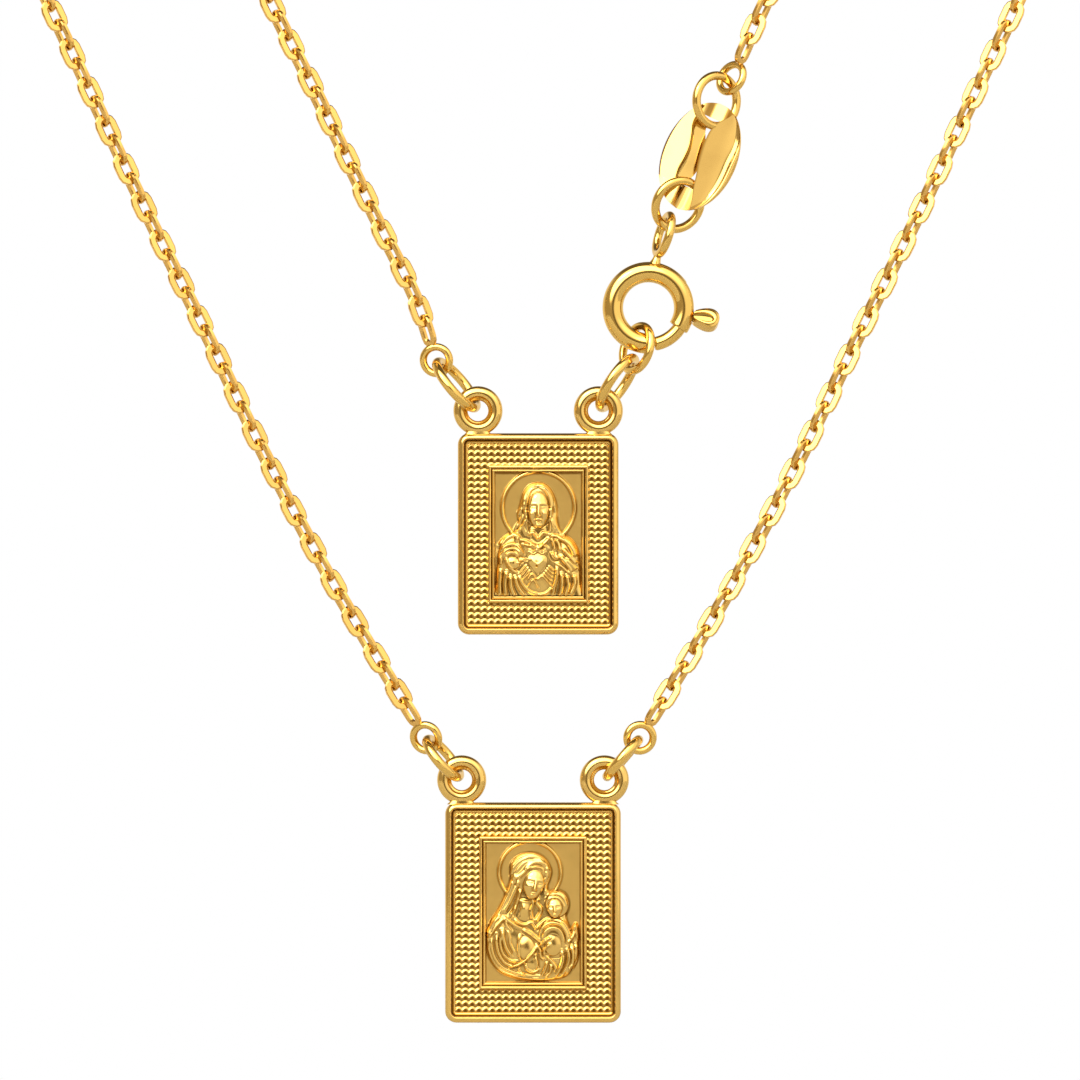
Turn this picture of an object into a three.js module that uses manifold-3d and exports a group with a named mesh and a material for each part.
// A gold scapular necklace: one loop of fine cable chain that joins two cast rectangular medals,
// closed at the right by a spring ring clasp and an oval connector plate. Millimetres, +Z up, front towards -Y.
// Everything is drawn in a plane, x to the right, y up and z towards the viewer, and turned upright at the end.
// The drawing's origin lies between the two bends of the loop, level with what carries them.
import * as THREE from "three";
import { mergeVertices } from "three/addons/utils/BufferGeometryUtils.js";
import Module from "manifold-3d";

const wasm = await Module();
wasm.setup();

// Medals: the heights are measured from the middle plane of the ears, towards the viewer
const lowerPlate = { width: 11.55, height: 14.48 };
const upperPlate = { width: 10.57, height: 13.24 };
const lowerMedalPlace = { x: 0, y: -144.1 };
const upperMedalPlace = { x: 0.34, y: -119.2 };
const plateBack = -0.45;
const plateCorner = 0.75;
const plateBevel = 0.15;
const rimWidth = 0.68;
const rimTop = 0.55;
const fieldFloor = 0.18;
const frameWidth = 0.42;
const frameTop = 0.5;
const frameBevel = 0.07;
const panelFloor = 0.1;
const lowerPanel = { width: 6.28, height: 9.25 };
const upperPanel = { width: 5.75, height: 8.2 };
const reliefHeight = 0.62;

// Studded field between rim and inner frame
const studs = { columns: 24, rows: 30, height: 0.2, valley: 0.03 };

// Ears, cast on the plate's upper corners
const ear = { radius: 1.19, wire: 0.43 };
const lowerEarSpread = 4.69;
const upperEarSpread = 3.96;
const earSink = 0.14;
const earFoot = { width: 1.5, height: 0.35, depth: 0.6 };

// Wires of the rings and links: radius is that of the ring's centre line, wire that of its round section
const wirePlay = 0.13;
const jumpRing = { radius: 1.58, wire: 0.33 };
const longJumpRing = { radius: 1.92, wire: 0.33 };
const endLink = { radius: 0.88, wire: 0.25 };
const claspLink = { radius: 1.52, wire: 0.28 };
const plateRing = { radius: 1.62, wire: 0.29 };
const smallRing = { radius: 0.97, wire: 0.25 };
const eyelet = { radius: 1.32, wire: 0.29 };

// Spring ring clasp: a hollow tube bent round, with a gate that slides in it
const claspTube = { radius: 2.35, wire: 0.68 };
const gateWire = 0.46;
const gateBore = 0.57;
const claspHookAngle = -106;
const gateMouth = -34;
const gateEnd = -84;
const gateTail = -4;
const boreEnd = 44;
const leverAngle = -11.4;
const leverTravel = 38;
const leverStem = { wide: 0.42, thick: 0.36 };
const knob = { reach: 4.0, length: 1.5, wide: 1.05, thick: 0.8 };
const slotPlay = 0.09;
const eyeletAngle = 81;
const eyeletNeck = 0.28;

// Oval connector plate with its two eyes and the channel between them
const oval = { length: 7.4, width: 4.8, thickness: 0.26, eyeOffset: 2.04, eyeWidth: 2.2, eyeLength: 1.44 };
const lowerHook = { along: -1.83, across: 0.2 };
const upperHook = { along: 2.22, across: 0.05 };
const channel = { width: 0.62, depth: 0.5, wall: 0.2 };

// Chain: the tube has the outer form of the cable links
const chain = { diameter: 1.3, sides: 8, steps: 72, endPlay: 0.3 };

// Mesh fineness
const ringSides = 14;
const wireSides = 6;
const claspSides = 26;
const claspWireSides = 10;
const domeColumns = 8;
const domeRows = 5;

// The way of each hooked piece, as the direction of pull in the drawing, and its turn about that direction.
// A turn of 0 shows a ring face on and 90 shows it edge on. Out is the angle in the ring's own plane, from the
// way to the place where the next piece hooks on, and play replaces the usual one where rings cross aslant.
const ways = {
  lowerLeftJump: { x: -0.65, y: 0.76, turn: 78 },
  lowerLeftEnd: { x: -0.58, y: 0.81, turn: -24 },
  lowerRightJump: { x: 0.65, y: 0.76, turn: 86 },
  lowerRightEnd: { x: 0.58, y: 0.81, turn: 14 },
  upperLeftJump: { x: -0.64, y: 0.77, turn: 76 },
  upperLeftEnd: { x: -0.52, y: 0.85, turn: -14 },
  upperRightJump: { x: 0.563, y: 0.826, turn: 76 },
  claspLink: { x: 0.28, y: 0.96, turn: -57, play: 0.2 },
  eyelet: { x: 0.285, y: 0.958, turn: -76 },
  plateRing: { x: 0.62, y: 0.785, turn: 45, play: 0.18 },
  oval: { x: 0.404, y: 0.915, turn: 0 },
  topRing: { x: 0.09, y: 0.996, turn: 46, out: -34 },
  smallRing: { x: 0.47, y: 0.883, turn: -46, play: 0.17 },
};

// The chain's way round each side, from its lower end over the bend to its upper end, chosen by hand.
// Lengths are in millimetres from the drawing's origin, for the left side; the right side mirrors the outer run.
const outerRun = [
  [-8.6, -130.1],
  [-13.3, -122.2],
  [-17.5, -114.3],
  [-21.3, -106.4],
  [-25.2, -98.5],
  [-28.9, -90.6],
  [-32.5, -82.9],
  [-40.6, -65.0],
  [-48.2, -47.5],
  [-55.3, -30.5],
  [-61.2, -16.0],
  [-63.6, -9.6],
];
const bend = [
  [-64.35, -4.9],
  [-62.9, -1.2],
  [-59.7, 0.6],
  [-56.0, 0.05],
  [-53.0, -2.5],
];
const innerRun = [
  [-50.7, -7.2],
  [-47.6, -14.6],
  [-41.4, -29.4],
  [-34.0, -46.6],
  [-26.3, -64.1],
  [-17.9, -82.9],
  [-14.1, -90.6],
  [-10.3, -98.5],
  [-7.6, -104.0],
];
const clasped = [
  [50.7, -7.2],
  [47.5, -14.6],
  [41.2, -29.4],
  [33.6, -46.6],
  [25.6, -64.1],
  [18.4, -78.6],
  [15.6, -83.6],
];

const degrees = THREE.MathUtils.degToRad;
const vector = (x, y, z = 0) => new THREE.Vector3(x, y, z);

// A closed geometry as a solid for cutting and joining
function solidFrom(geometry, matrix = new THREE.Matrix4()) {
  const bare = geometry.index ? geometry.toNonIndexed() : geometry.clone();
  const placed = new THREE.BufferGeometry()
    .setAttribute("position", bare.getAttribute("position"))
    .applyMatrix4(matrix);
  const merged = mergeVertices(placed, 1e-4);
  const corners = merged.index.array;
  const kept = [];
  for (let i = 0; i < corners.length; i += 3) {
    const [a, b, c] = corners.subarray(i, i + 3);
    if (a !== b && b !== c && c !== a) {
      kept.push(a, b, c);
    }
  }
  const vertProperties = merged.attributes.position.array;
  return new wasm.Manifold(new wasm.Mesh({ numProp: 3, vertProperties, triVerts: new Uint32Array(kept) }));
}

function geometryFrom(solid) {
  const mesh = solid.getMesh();
  const points = new Float32Array(mesh.numVert * 3);
  for (let i = 0; i < mesh.numVert; i++) {
    points.set(mesh.vertProperties.subarray(i * mesh.numProp, i * mesh.numProp + 3), i * 3);
  }
  return new THREE.BufferGeometry()
    .setAttribute("position", new THREE.BufferAttribute(points, 3))
    .setIndex(new THREE.BufferAttribute(mesh.triVerts, 1));
}

function joined(solids) {
  return solids.reduce((sum, next) => sum.add(next));
}

// Drawing helpers: each gives a geometry in the drawing plane
function roundedRectangle(width, height, corner) {
  const shape = new THREE.Shape();
  const [x, y] = [width / 2, height / 2];
  shape.moveTo(-x + corner, -y);
  shape.lineTo(x - corner, -y);
  shape.absarc(x - corner, -y + corner, corner, -Math.PI / 2, 0);
  shape.lineTo(x, y - corner);
  shape.absarc(x - corner, y - corner, corner, 0, Math.PI / 2);
  shape.lineTo(-x + corner, y);
  shape.absarc(-x + corner, y - corner, corner, Math.PI / 2, Math.PI);
  shape.lineTo(-x, -y + corner);
  shape.absarc(-x + corner, -y + corner, corner, Math.PI, 1.5 * Math.PI);
  return shape;
}

function slab(shape, from, to, bevel = 0, curveSegments = 4) {
  const options = { depth: to - from - 2 * bevel, bevelEnabled: bevel > 0, curveSegments };
  if (bevel > 0) {
    Object.assign(options, { bevelThickness: bevel, bevelSize: bevel, bevelOffset: -bevel, bevelSegments: 2 });
  }
  return new THREE.ExtrudeGeometry(shape, options).translate(0, 0, from + bevel);
}

function rectangle(width, height) {
  return roundedRectangle(width, height, 0.02);
}

function ringGeometry({ radius, wire }, sides = ringSides, section = wireSides) {
  return new THREE.TorusGeometry(radius, wire, section, sides);
}

// The matrix of a piece whose own x axis runs along the way and whose z axis is its face
function placing(centre, way) {
  const along = vector(way.x, way.y).normalize();
  const across = vector(-along.y, along.x);
  const turned = across.clone().applyAxisAngle(along, degrees(way.turn));
  const face = along.clone().cross(turned);
  return new THREE.Matrix4().makeBasis(along, turned, face).setPosition(centre);
}

// The next ring on a line of hooked rings: it passes inside the wire whose centre is given
function hook(wireCentre, wireRadius, ring, way) {
  const along = vector(way.x, way.y).normalize();
  const near = wireCentre.clone().addScaledVector(along, -(wireRadius + ring.wire + (way.play ?? wirePlay)));
  const centre = near.clone().addScaledVector(along, ring.radius);
  const matrix = placing(centre, way);
  const out = degrees(way.out ?? 0);
  const far = vector(Math.cos(out) * ring.radius, Math.sin(out) * ring.radius).applyMatrix4(matrix);
  return { centre, far, matrix };
}

// Metal
const polished = new THREE.MeshStandardMaterial({ color: 0xe3ab3c, roughness: 0.16, metalness: 1 });
const satin = new THREE.MeshStandardMaterial({ color: 0xd79f38, roughness: 0.3, metalness: 1 });
const chainGold = new THREE.MeshStandardMaterial({ color: 0xe6ab44, roughness: 0.2, metalness: 1 });

const drawing = new THREE.Group();
drawing.rotation.x = Math.PI / 2;

function addPiece(name, geometry, material, matrix = new THREE.Matrix4(), group = drawing) {
  const mesh = new THREE.Mesh(geometry, material);
  mesh.name = name;
  matrix.decompose(mesh.position, mesh.quaternion, mesh.scale);
  group.add(mesh);
  return mesh;
}

// A field of four-sided studs on a slab that reaches down into the plate
function studField(width, height) {
  const { columns, rows } = studs;
  const [low, valley, tip] = [fieldFloor - 0.05, fieldFloor + studs.valley, fieldFloor + studs.height];
  const points = [];
  const triangles = [];
  const across = (i) => (i / columns - 0.5) * width;
  const up = (j) => (j / rows - 0.5) * height;
  const put = (x, y, z) => points.push(x, y, z) / 3 - 1;
  const top = [];
  const bottom = [];
  for (let j = 0; j <= rows; j++) {
    top.push([]);
    bottom.push([]);
    for (let i = 0; i <= columns; i++) {
      top[j].push(put(across(i), up(j), valley));
      bottom[j].push(put(across(i), up(j), low));
    }
  }
  for (let j = 0; j < rows; j++) {
    for (let i = 0; i < columns; i++) {
      const corners = [top[j][i], top[j][i + 1], top[j + 1][i + 1], top[j + 1][i]];
      const apex = put(across(i + 0.5), up(j + 0.5), tip);
      corners.forEach((corner, k) => triangles.push(corner, corners[(k + 1) % 4], apex));
      const [a, b, c, d] = [bottom[j][i], bottom[j][i + 1], bottom[j + 1][i + 1], bottom[j + 1][i]];
      triangles.push(a, c, b, a, d, c);
    }
  }
  const wall = (upperA, upperB, lowerA, lowerB) => {
    triangles.push(lowerA, lowerB, upperB, lowerA, upperB, upperA);
  };
  for (let i = 0; i < columns; i++) {
    wall(top[0][i], top[0][i + 1], bottom[0][i], bottom[0][i + 1]);
    wall(top[rows][i + 1], top[rows][i], bottom[rows][i + 1], bottom[rows][i]);
  }
  for (let j = 0; j < rows; j++) {
    wall(top[j + 1][0], top[j][0], bottom[j + 1][0], bottom[j][0]);
    wall(top[j][columns], top[j + 1][columns], bottom[j][columns], bottom[j + 1][columns]);
  }
  return new THREE.BufferGeometry()
    .setAttribute("position", new THREE.BufferAttribute(new Float32Array(points), 3))
    .setIndex(triangles);
}

// Relief figures: a row for each swelling form. x, y, wide and tall are shares of the panel's width and height
// from its centre, raised is a share of the relief's height, and lean turns the form in degrees.
const heartFigure = [
  { x: 0.0, y: 0.21, wide: 0.2, tall: 0.18, raised: 0.6, lean: 0 },
  { x: 0.0, y: 0.19, wide: 0.13, tall: 0.15, raised: 0.9, lean: 0 },
  { x: -0.18, y: 0.08, wide: 0.07, tall: 0.13, raised: 0.55, lean: -24 },
  { x: 0.18, y: 0.08, wide: 0.07, tall: 0.13, raised: 0.55, lean: 22 },
  { x: 0.0, y: -0.3, wide: 0.42, tall: 0.33, raised: 0.55, lean: 0 },
  { x: -0.31, y: -0.22, wide: 0.15, tall: 0.2, raised: 0.7, lean: -18 },
  { x: 0.31, y: -0.2, wide: 0.15, tall: 0.2, raised: 0.7, lean: 24 },
  { x: -0.2, y: -0.22, wide: 0.17, tall: 0.045, raised: 0.88, lean: -14 },
  { x: 0.22, y: -0.2, wide: 0.17, tall: 0.045, raised: 0.88, lean: -38 },
  { x: -0.06, y: -0.215, wide: 0.085, tall: 0.055, raised: 1.0, lean: -35 },
  { x: 0.06, y: -0.215, wide: 0.085, tall: 0.055, raised: 1.0, lean: 35 },
  { x: 0.0, y: -0.26, wide: 0.055, tall: 0.075, raised: 0.95, lean: 0 },
  { x: 0.0, y: -0.13, wide: 0.025, tall: 0.06, raised: 0.9, lean: 0 },
  { x: 0.0, y: -0.12, wide: 0.07, tall: 0.015, raised: 0.9, lean: 0 },
  { x: -0.32, y: -0.42, wide: 0.05, tall: 0.16, raised: 0.72, lean: 8 },
  { x: 0.32, y: -0.42, wide: 0.05, tall: 0.16, raised: 0.72, lean: -8 },
];
const heartHalo = { x: 0, y: 0.21, radius: 0.4, wire: 0.014 };
const motherFigure = [
  { x: -0.02, y: 0.27, wide: 0.21, tall: 0.18, raised: 0.6, lean: 0 },
  { x: 0.02, y: 0.23, wide: 0.12, tall: 0.125, raised: 0.88, lean: 10 },
  { x: -0.27, y: 0.05, wide: 0.08, tall: 0.2, raised: 0.6, lean: -32 },
  { x: -0.09, y: 0.05, wide: 0.1, tall: 0.1, raised: 0.5, lean: 0 },
  { x: -0.03, y: -0.22, wide: 0.44, tall: 0.24, raised: 0.6, lean: 0 },
  { x: -0.28, y: -0.16, wide: 0.15, tall: 0.2, raised: 0.75, lean: -14 },
  { x: 0.32, y: -0.2, wide: 0.12, tall: 0.19, raised: 0.7, lean: 14 },
  { x: 0.24, y: 0.08, wide: 0.125, tall: 0.085, raised: 0.9, lean: -8 },
  { x: 0.23, y: -0.1, wide: 0.14, tall: 0.13, raised: 0.85, lean: 8 },
  { x: -0.02, y: -0.13, wide: 0.17, tall: 0.035, raised: 0.9, lean: -24 },
  { x: 0.1, y: -0.24, wide: 0.16, tall: 0.045, raised: 0.95, lean: 28 },
  { x: -0.12, y: -0.33, wide: 0.2, tall: 0.035, raised: 0.85, lean: -20 },
  { x: 0.12, y: -0.36, wide: 0.2, tall: 0.035, raised: 0.8, lean: 24 },
];
const motherHalo = { x: -0.02, y: 0.28, radius: 0.32, wire: 0.014 };

function figureForms(panel, forms, halo) {
  const rounded = new THREE.SphereGeometry(1, domeColumns, domeRows).rotateX(Math.PI / 2);
  const solids = forms.map((form) => {
    const size = vector(form.wide * panel.width, form.tall * panel.height, form.raised * reliefHeight);
    const place = vector(form.x * panel.width, form.y * panel.height, panelFloor);
    const lean = new THREE.Quaternion().setFromAxisAngle(vector(0, 0, 1), degrees(form.lean));
    return solidFrom(rounded, new THREE.Matrix4().compose(place, lean, size));
  });
  const haloGeometry = ringGeometry({ radius: halo.radius * panel.width, wire: halo.wire * panel.width }, 20, 4);
  haloGeometry.translate(halo.x * panel.width, halo.y * panel.height, panelFloor + halo.wire * panel.width * 0.4);
  return joined([...solids, solidFrom(haloGeometry)]);
}

function medalSolid(plate, panel, earSpread, forms, halo) {
  const inner = { width: plate.width - 2 * rimWidth, height: plate.height - 2 * rimWidth };
  const frame = { width: panel.width + 2 * frameWidth, height: panel.height + 2 * frameWidth };
  const clear = 2 * rimTop;
  const outline = roundedRectangle(plate.width, plate.height, plateCorner);
  const field = slab(roundedRectangle(inner.width, inner.height, plateCorner / 2), fieldFloor, clear);
  const body = solidFrom(slab(outline, plateBack, rimTop, plateBevel)).subtract(solidFrom(field));

  const insideFrame = solidFrom(slab(rectangle(frame.width, frame.height), plateBack, clear));
  const studBand = solidFrom(studField(inner.width - 0.03, inner.height - 0.03)).subtract(insideFrame);
  const bar = roundedRectangle(frame.width, frame.height, 2.5 * frameBevel);
  const frameBar = solidFrom(slab(bar, plateBack / 2, frameTop, frameBevel, 1));
  const pocket = solidFrom(slab(rectangle(panel.width, panel.height), panelFloor, clear));
  const panelBox = solidFrom(slab(rectangle(panel.width + 0.01, panel.height + 0.01), plateBack / 2, clear));
  const figure = figureForms(panel, forms, halo).intersect(panelBox);

  const top = plate.height / 2;
  const ears = [-1, 1].map((side) => {
    const x = side * earSpread;
    const centre = vector(x, top + ear.radius + ear.wire - earSink, 0);
    const ring = ringGeometry(ear, ringSides, 7).translate(centre.x, centre.y, centre.z);
    const foot = new THREE.BoxGeometry(earFoot.width, earFoot.height, earFoot.depth);
    foot.translate(x, top + 0.02, 0);
    return solidFrom(ring).add(solidFrom(foot));
  });
  return joined([body, studBand, frameBar, ...ears]).subtract(pocket).add(figure);
}

// The wire of an ear that its jump ring passes round
function earWire(plate, place, spread, side, way) {
  const height = plate.height / 2 + ear.radius + ear.wire - earSink;
  const along = vector(way.x, way.y).normalize();
  return vector(place.x + side * spread, place.y + height).addScaledVector(along, ear.radius);
}

function addMedal(name, plate, panel, place, earSpread, forms, halo) {
  const geometry = geometryFrom(medalSolid(plate, panel, earSpread, forms, halo));
  addPiece(name, geometry, satin, new THREE.Matrix4().makeTranslation(place.x, place.y, 0));
}

addMedal("lower_medal", lowerPlate, lowerPanel, lowerMedalPlace, lowerEarSpread, motherFigure, motherHalo);
addMedal("upper_medal", upperPlate, upperPanel, upperMedalPlace, upperEarSpread, heartFigure, heartHalo);

// A jump ring through an ear and the round end link on it
function addEnd(name, wireCentre, ring, jumpWay, endWay) {
  const jump = hook(wireCentre, ear.wire, ring, jumpWay);
  const end = hook(jump.far, ring.wire, endLink, endWay);
  addPiece(name + "_jump_ring", ringGeometry(ring), polished, jump.matrix);
  addPiece(name + "_end_link", ringGeometry(endLink), polished, end.matrix);
  return end;
}

const lowerLeftWire = earWire(lowerPlate, lowerMedalPlace, lowerEarSpread, -1, ways.lowerLeftJump);
const lowerRightWire = earWire(lowerPlate, lowerMedalPlace, lowerEarSpread, 1, ways.lowerRightJump);
const upperLeftWire = earWire(upperPlate, upperMedalPlace, upperEarSpread, -1, ways.upperLeftJump);
const upperRightWire = earWire(upperPlate, upperMedalPlace, upperEarSpread, 1, ways.upperRightJump);
const lowerLeftEnd = addEnd("lower_left", lowerLeftWire, jumpRing, ways.lowerLeftJump, ways.lowerLeftEnd);
const lowerRightEnd = addEnd("lower_right", lowerRightWire, jumpRing, ways.lowerRightJump, ways.lowerRightEnd);
const upperLeftEnd = addEnd("upper_left", upperLeftWire, longJumpRing, ways.upperLeftJump, ways.upperLeftEnd);

// Clasp side: the long jump ring, the link in the clasp, the clasp, and the plate between its two rings
const longJump = hook(upperRightWire, ear.wire, longJumpRing, ways.upperRightJump);
addPiece("upper_right_jump_ring", ringGeometry(longJumpRing), polished, longJump.matrix);
const linkInClasp = hook(longJump.far, longJumpRing.wire, claspLink, ways.claspLink);
addPiece("clasp_link", ringGeometry(claspLink), polished, linkInClasp.matrix);

// A pie slice about the clasp's axis, for cutting the tube and the gate to their angles
function slice(from, to, reach, halfDepth) {
  const shape = new THREE.Shape();
  shape.moveTo(0, 0);
  shape.absarc(0, 0, reach, degrees(from), degrees(to));
  shape.lineTo(0, 0);
  return solidFrom(slab(shape, -halfDepth, halfDepth, 0, 24));
}

const aboutClasp = (angle, reach) => vector(Math.cos(degrees(angle)) * reach, Math.sin(degrees(angle)) * reach);
const claspPull = vector(ways.claspLink.x, ways.claspLink.y).normalize();
const tubePlay = claspLink.wire + claspTube.wire + wirePlay;
const tubeInLink = linkInClasp.far.clone().addScaledVector(claspPull, -tubePlay);
const claspCentre = tubeInLink.clone().sub(aboutClasp(claspHookAngle, claspTube.radius));
const eyeletPull = vector(ways.eyelet.x, ways.eyelet.y).normalize();
const eyeletFoot = aboutClasp(eyeletAngle, claspTube.radius + claspTube.wire);
const eyeletReach = eyelet.radius + eyelet.wire + eyeletNeck;
const eyeletCentre = eyeletFoot.clone().addScaledVector(eyeletPull, eyeletReach);

function claspTubeSolid() {
  const reach = 2 * claspTube.radius;
  const tube = solidFrom(ringGeometry(claspTube, claspSides, claspWireSides));
  const mouth = slice(gateEnd, gateMouth, reach, claspTube.wire * 2);
  const boreSlice = slice(gateEnd, boreEnd, reach, claspTube.wire * 2);
  const boreRing = { radius: claspTube.radius, wire: gateBore };
  const bore = solidFrom(ringGeometry(boreRing, claspSides, claspWireSides)).intersect(boreSlice);
  const slotMargin = THREE.MathUtils.radToDeg((leverStem.wide / 2 + slotPlay) / claspTube.radius);
  const slotHalf = leverStem.thick / 2 + slotPlay;
  const slotSlice = slice(leverAngle - slotMargin, leverAngle + leverTravel + slotMargin, reach, slotHalf);
  const core = new THREE.CylinderGeometry(claspTube.radius, claspTube.radius, reach, claspSides);
  const slot = slotSlice.subtract(solidFrom(core.rotateX(Math.PI / 2)));
  const eye = solidFrom(ringGeometry(eyelet), placing(eyeletCentre, ways.eyelet));
  const neck = new THREE.CylinderGeometry(eyelet.wire * 0.8, eyelet.wire * 1.1, eyeletNeck * 3, 8);
  const neckCentre = eyeletFoot.clone().addScaledVector(eyeletPull, eyeletNeck / 2);
  const neckTurn = placing(neckCentre, { ...ways.eyelet, turn: 0 });
  const neckSolid = solidFrom(neck.rotateZ(-Math.PI / 2), neckTurn);
  return joined([tube.subtract(mouth).subtract(bore).subtract(slot), eye, neckSolid]);
}

// The gate's wire in the mouth, its tail in the bore, and the lever with its looped knob
function gateSolid() {
  const reach = 2 * claspTube.radius;
  const play = THREE.MathUtils.radToDeg(wirePlay / claspTube.radius);
  const wire = solidFrom(ringGeometry({ radius: claspTube.radius, wire: gateWire }, claspSides, claspWireSides));
  const bow = wire.intersect(slice(gateEnd + play, gateTail, reach, gateWire * 2));
  const stemLength = knob.reach - claspTube.radius;
  const stem = new THREE.BoxGeometry(stemLength, leverStem.wide, leverStem.thick);
  const outwards = new THREE.Matrix4().makeRotationZ(degrees(leverAngle));
  const stemSolid = solidFrom(stem.translate(claspTube.radius + stemLength / 2, 0, 0), outwards);
  const head = new THREE.SphereGeometry(0.5, 10, 8).scale(knob.length, knob.wide, knob.thick);
  return joined([bow, stemSolid, solidFrom(head.translate(knob.reach, 0, 0), outwards)]);
}

const claspMatrix = new THREE.Matrix4().makeTranslation(claspCentre.x, claspCentre.y, 0);
addPiece("clasp_ring", geometryFrom(claspTubeSolid()), polished, claspMatrix);
addPiece("clasp_gate", geometryFrom(gateSolid()), polished, claspMatrix);

const eyeletFar = claspCentre.clone().add(eyeletCentre).addScaledVector(eyeletPull, eyelet.radius);
const lowerPlateRing = hook(eyeletFar, eyelet.wire, plateRing, ways.plateRing);
addPiece("plate_lower_ring", ringGeometry(plateRing), polished, lowerPlateRing.matrix);

// The oval plate: its rings pass through the eyes at the two hooks, measured from its centre
const ovalPull = vector(ways.oval.x, ways.oval.y).normalize();
const ovalSide = vector(ovalPull.y, -ovalPull.x);
const fromOval = ({ along, across }, sign = 1) =>
  ovalPull.clone().multiplyScalar(sign * along).addScaledVector(ovalSide, sign * across);
const ovalCentre = lowerPlateRing.far.clone().add(fromOval(lowerHook, -1));

function ovalSolid() {
  const outline = new THREE.Shape();
  outline.absellipse(0, 0, oval.length / 2, oval.width / 2, 0, 2 * Math.PI);
  const half = oval.thickness / 2;
  const body = solidFrom(slab(outline, -half, half, oval.thickness / 5, 16));
  const through = 4 * channel.depth;
  const eyes = [-1, 1].map((side) => {
    const eye = new THREE.Shape();
    eye.absellipse(side * oval.eyeOffset, 0, oval.eyeLength / 2, oval.eyeWidth / 2, 0, 2 * Math.PI);
    return solidFrom(slab(eye, -through, through, 0, 6));
  });
  const span = 2 * oval.eyeOffset;
  const groove = solidFrom(new THREE.BoxGeometry(span, channel.width, 2 * through));
  const floorLength = span - oval.eyeLength;
  const floor = new THREE.BoxGeometry(floorLength, channel.width, channel.wall);
  floor.translate(0, -channel.wall, -channel.depth);
  const side = new THREE.BoxGeometry(floorLength, channel.wall, channel.depth + oval.thickness / 2);
  side.translate(0, -channel.width / 2 - channel.wall / 2, -channel.depth / 2);
  return joined([body.subtract(joined([groove, ...eyes])), solidFrom(floor), solidFrom(side)]);
}

addPiece("oval_plate", geometryFrom(ovalSolid()), polished, placing(ovalCentre, ways.oval));

const topPull = vector(ways.topRing.x, ways.topRing.y).normalize();
const topNear = ovalCentre.clone().add(fromOval(upperHook));
const topRing = hook(topNear.addScaledVector(topPull, plateRing.wire + wirePlay), 0, plateRing, ways.topRing);
addPiece("plate_upper_ring", ringGeometry(plateRing), polished, topRing.matrix);
const chainRing = hook(topRing.far, plateRing.wire, smallRing, ways.smallRing);
addPiece("chain_ring", ringGeometry(smallRing), polished, chainRing.matrix);

// A strand of chain along its route, cut square a little way off the end links
function beyond(end, link, towards) {
  const away = towards.clone().sub(end.centre).normalize();
  return end.centre.clone().addScaledVector(away, link.radius + link.wire + chain.endPlay);
}

function strandGeometry(startEnd, startLink, points, finishEnd, finishLink) {
  const route = points.map(([x, y]) => vector(x, y));
  const first = beyond(startEnd, startLink, route[0]);
  const last = beyond(finishEnd, finishLink, route[route.length - 1]);
  const path = new THREE.CatmullRomCurve3([first, ...route, last], false, "centripetal");
  const section = new THREE.Shape();
  section.absarc(0, 0, chain.diameter / 2, 0, 2 * Math.PI);
  const options = { steps: chain.steps, bevelEnabled: false, extrudePath: path, curveSegments: chain.sides / 2 };
  return new THREE.ExtrudeGeometry(section, options);
}

const mirror = (points) => points.map(([x, y]) => [-x, y]);
const leftRoute = [...outerRun, ...bend, ...innerRun];
const rightRoute = [...mirror([...outerRun, ...bend]), ...clasped];
const leftStrand = strandGeometry(lowerLeftEnd, endLink, leftRoute, upperLeftEnd, endLink);
const rightStrand = strandGeometry(lowerRightEnd, endLink, rightRoute, chainRing, smallRing);
addPiece("chain_left", leftStrand, chainGold);
addPiece("chain_right", rightStrand, chainGold);

export default drawing;
